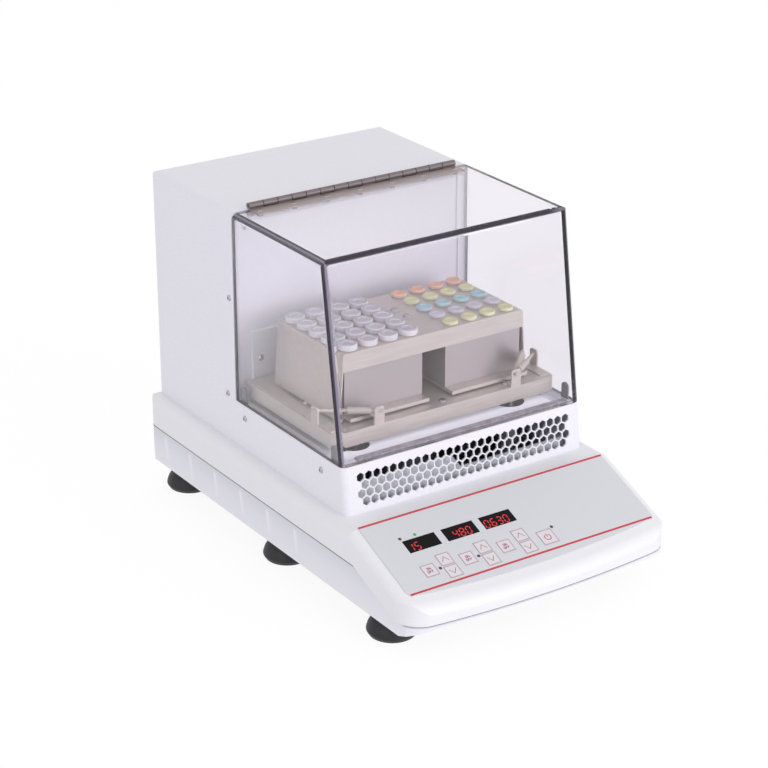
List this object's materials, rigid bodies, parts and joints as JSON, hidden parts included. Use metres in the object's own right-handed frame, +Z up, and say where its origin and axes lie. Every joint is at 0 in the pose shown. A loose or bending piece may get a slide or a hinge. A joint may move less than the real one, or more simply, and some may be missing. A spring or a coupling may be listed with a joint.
{
  "type": "incubating orbital shaker",
  "caption": "Bench incubating orbital shaker: moulded base with a sloping control panel, sheet metal housing, clear hinged lid and a tray that carries a tube rack.",
  "frame": {"origin": "centre of the part's footprint, on the surface that the rubber feet stand on", "axes": "+Z up, -Y towards the user and the control panel, +X to the right of someone facing the panel"},
  "size_m": [0.26, 0.421, 0.2989],
  "materials": {
    "white_mould": "satin",
    "white_sheet": "satin",
    "pan_white": "satin",
    "clear_acrylic": "gloss",
    "stainless": "satin",
    "hinge_steel": "satin",
    "screw_steel": "polished",
    "steel_parts": "satin",
    "chassis": "satin",
    "rubber": "matte",
    "black_plastic": "matte",
    "pulley_plastic": "matte",
    "grey_plastic": "matte",
    "overlay": "matte",
    "key": "matte",
    "window": "gloss",
    "lamp": "gloss",
    "board": "matte",
    "motor": "satin",
    "cast": "cast",
    "frosted": "frosted",
    "tube_caps": "satin",
    "heater": "satin"
  },
  "bodies": {
    "case": {"base_tub": "white_mould", "deck_shell": "white_mould", "housing_cover": "white_sheet", "rear_panel": "white_sheet", "chamber_floor": "pan_white", "bulkhead": "white_sheet", "air_baffle": "pan_white", "chassis_plate": "chassis", "rubber_feet": "rubber", "housing_screws": "screw_steel", "hinge_leaf_case": "hinge_steel", "hinge_pin": "hinge_steel", "gasket_strip": "grey_plastic", "lid_locators": "grey_plastic", "control_overlay": "overlay", "display_windows": "window", "indicator_lamps": "lamp", "control_board": "board", "drive_motor": "motor", "drive_belt": "rubber", "bearing_housing": "cast", "main_bearings": "steel_parts", "guide_posts": "cast", "fan_housing": "black_plastic", "heater_block": "heater", "power_inlet": "black_plastic"},
    "lid": {"lid_shell": "clear_acrylic", "hinge_leaf_lid": "hinge_steel", "hinge_screws": "screw_steel"},
    "drive": {"eccentric_shaft": "steel_parts", "driven_pulley": "pulley_plastic", "counterweight": "steel_parts"},
    "platform": {"platform_carrier": "chassis", "carrier_bearings": "steel_parts", "tray": "stainless", "tray_screws": "screw_steel", "clamp_rods": "stainless", "rack_base": "stainless", "rack_cover": "stainless", "tube_blocks": "chassis", "rack_screws": "screw_steel", "large_tubes": "frosted", "small_tubes": "tube_caps"},
    "motor_rotor": {"motor_pulley": "pulley_plastic"},
    "fan": {"fan_impeller": "black_plastic"},
    "guide_left": {"guide_crank_left": "steel_parts"},
    "guide_right": {"guide_crank_right": "steel_parts"},
    "guide_rear": {"guide_crank_rear": "steel_parts"},
    "lever_left": {"clamp_lever_left": "stainless"},
    "lever_right": {"clamp_lever_right": "stainless"},
    "temp_on_button": {"temp_on_key": "key"},
    "temp_up_button": {"temp_up_key": "key"},
    "temp_down_button": {"temp_down_key": "key"},
    "speed_on_button": {"speed_on_key": "key"},
    "speed_up_button": {"speed_up_key": "key"},
    "speed_down_button": {"speed_down_key": "key"},
    "time_on_button": {"time_on_key": "key"},
    "time_up_button": {"time_up_key": "key"},
    "time_down_button": {"time_down_key": "key"},
    "power_button": {"power_key": "key"}
  },
  "joints": [
    {"name": "lid_hinge", "type": "hinge", "parent": "case", "child": "lid", "pos_m": [0, 0.0705, 0.2961], "axis": [-1, 0, 0], "range_deg": [0, 180]},
    {"name": "drive_spin", "type": "hinge", "parent": "case", "child": "drive", "pos_m": [0, -0.001, 0.1], "axis": [0, 0, 1], "continuous": true},
    {"name": "platform_orbit", "type": "hinge", "parent": "drive", "child": "platform", "pos_m": [0.0015, -0.001, 0.138], "axis": [0, 0, 1], "continuous": true},
    {"name": "motor_spin", "type": "hinge", "parent": "case", "child": "motor_rotor", "pos_m": [0.072, -0.001, 0.05], "axis": [0, 0, 1], "continuous": true},
    {"name": "fan_spin", "type": "hinge", "parent": "case", "child": "fan", "pos_m": [-0.05, 0.085, 0.154], "axis": [0, 1, 0], "continuous": true},
    {"name": "guide_left_spin", "type": "hinge", "parent": "case", "child": "guide_left", "pos_m": [-0.078, -0.045, 0.1], "axis": [0, 0, 1], "continuous": true},
    {"name": "guide_right_spin", "type": "hinge", "parent": "case", "child": "guide_right", "pos_m": [0.078, -0.045, 0.1], "axis": [0, 0, 1], "continuous": true},
    {"name": "guide_rear_spin", "type": "hinge", "parent": "case", "child": "guide_rear", "pos_m": [0, 0.043, 0.1], "axis": [0, 0, 1], "continuous": true},
    {"name": "clamp_left", "type": "hinge", "parent": "platform", "child": "lever_left", "pos_m": [-0.10725, -0.04, 0.1574], "axis": [0.8263, -0.5632, 0], "range_deg": [0, 116]},
    {"name": "clamp_right", "type": "hinge", "parent": "platform", "child": "lever_right", "pos_m": [0.10725, -0.04, 0.1574], "axis": [-0.8263, -0.5632, 0], "range_deg": [0, 116]},
    {"name": "temp_on_press", "type": "slide", "parent": "case", "child": "temp_on_button", "axis": [0, 0.3746, -0.9272], "range_m": [0, 0.0004], "stiffness_N_per_m": 1500, "springref_m": -0.0001},
    {"name": "temp_up_press", "type": "slide", "parent": "case", "child": "temp_up_button", "axis": [0, 0.3746, -0.9272], "range_m": [0, 0.0004], "stiffness_N_per_m": 1500, "springref_m": -0.0001},
    {"name": "temp_down_press", "type": "slide", "parent": "case", "child": "temp_down_button", "axis": [0, 0.3746, -0.9272], "range_m": [0, 0.0004], "stiffness_N_per_m": 1500, "springref_m": -0.0001},
    {"name": "speed_on_press", "type": "slide", "parent": "case", "child": "speed_on_button", "axis": [0, 0.3746, -0.9272], "range_m": [0, 0.0004], "stiffness_N_per_m": 1500, "springref_m": -0.0001},
    {"name": "speed_up_press", "type": "slide", "parent": "case", "child": "speed_up_button", "axis": [0, 0.3746, -0.9272], "range_m": [0, 0.0004], "stiffness_N_per_m": 1500, "springref_m": -0.0001},
    {"name": "speed_down_press", "type": "slide", "parent": "case", "child": "speed_down_button", "axis": [0, 0.3746, -0.9272], "range_m": [0, 0.0004], "stiffness_N_per_m": 1500, "springref_m": -0.0001},
    {"name": "time_on_press", "type": "slide", "parent": "case", "child": "time_on_button", "axis": [0, 0.3746, -0.9272], "range_m": [0, 0.0004], "stiffness_N_per_m": 1500, "springref_m": -0.0001},
    {"name": "time_up_press", "type": "slide", "parent": "case", "child": "time_up_button", "axis": [0, 0.3746, -0.9272], "range_m": [0, 0.0004], "stiffness_N_per_m": 1500, "springref_m": -0.0001},
    {"name": "time_down_press", "type": "slide", "parent": "case", "child": "time_down_button", "axis": [0, 0.3746, -0.9272], "range_m": [0, 0.0004], "stiffness_N_per_m": 1500, "springref_m": -0.0001},
    {"name": "power_press", "type": "slide", "parent": "case", "child": "power_button", "axis": [0, 0.3746, -0.9272], "range_m": [0, 0.0004], "stiffness_N_per_m": 1500, "springref_m": -0.0001}
  ],
  "couplings": [
    {"joint": "platform_orbit", "follows": "drive_spin", "ratio": -1},
    {"joint": "motor_spin", "follows": "drive_spin", "ratio": 2},
    {"joint": "guide_left_spin", "follows": "drive_spin", "ratio": 1},
    {"joint": "guide_right_spin", "follows": "drive_spin", "ratio": 1},
    {"joint": "guide_rear_spin", "follows": "drive_spin", "ratio": 1}
  ]
}
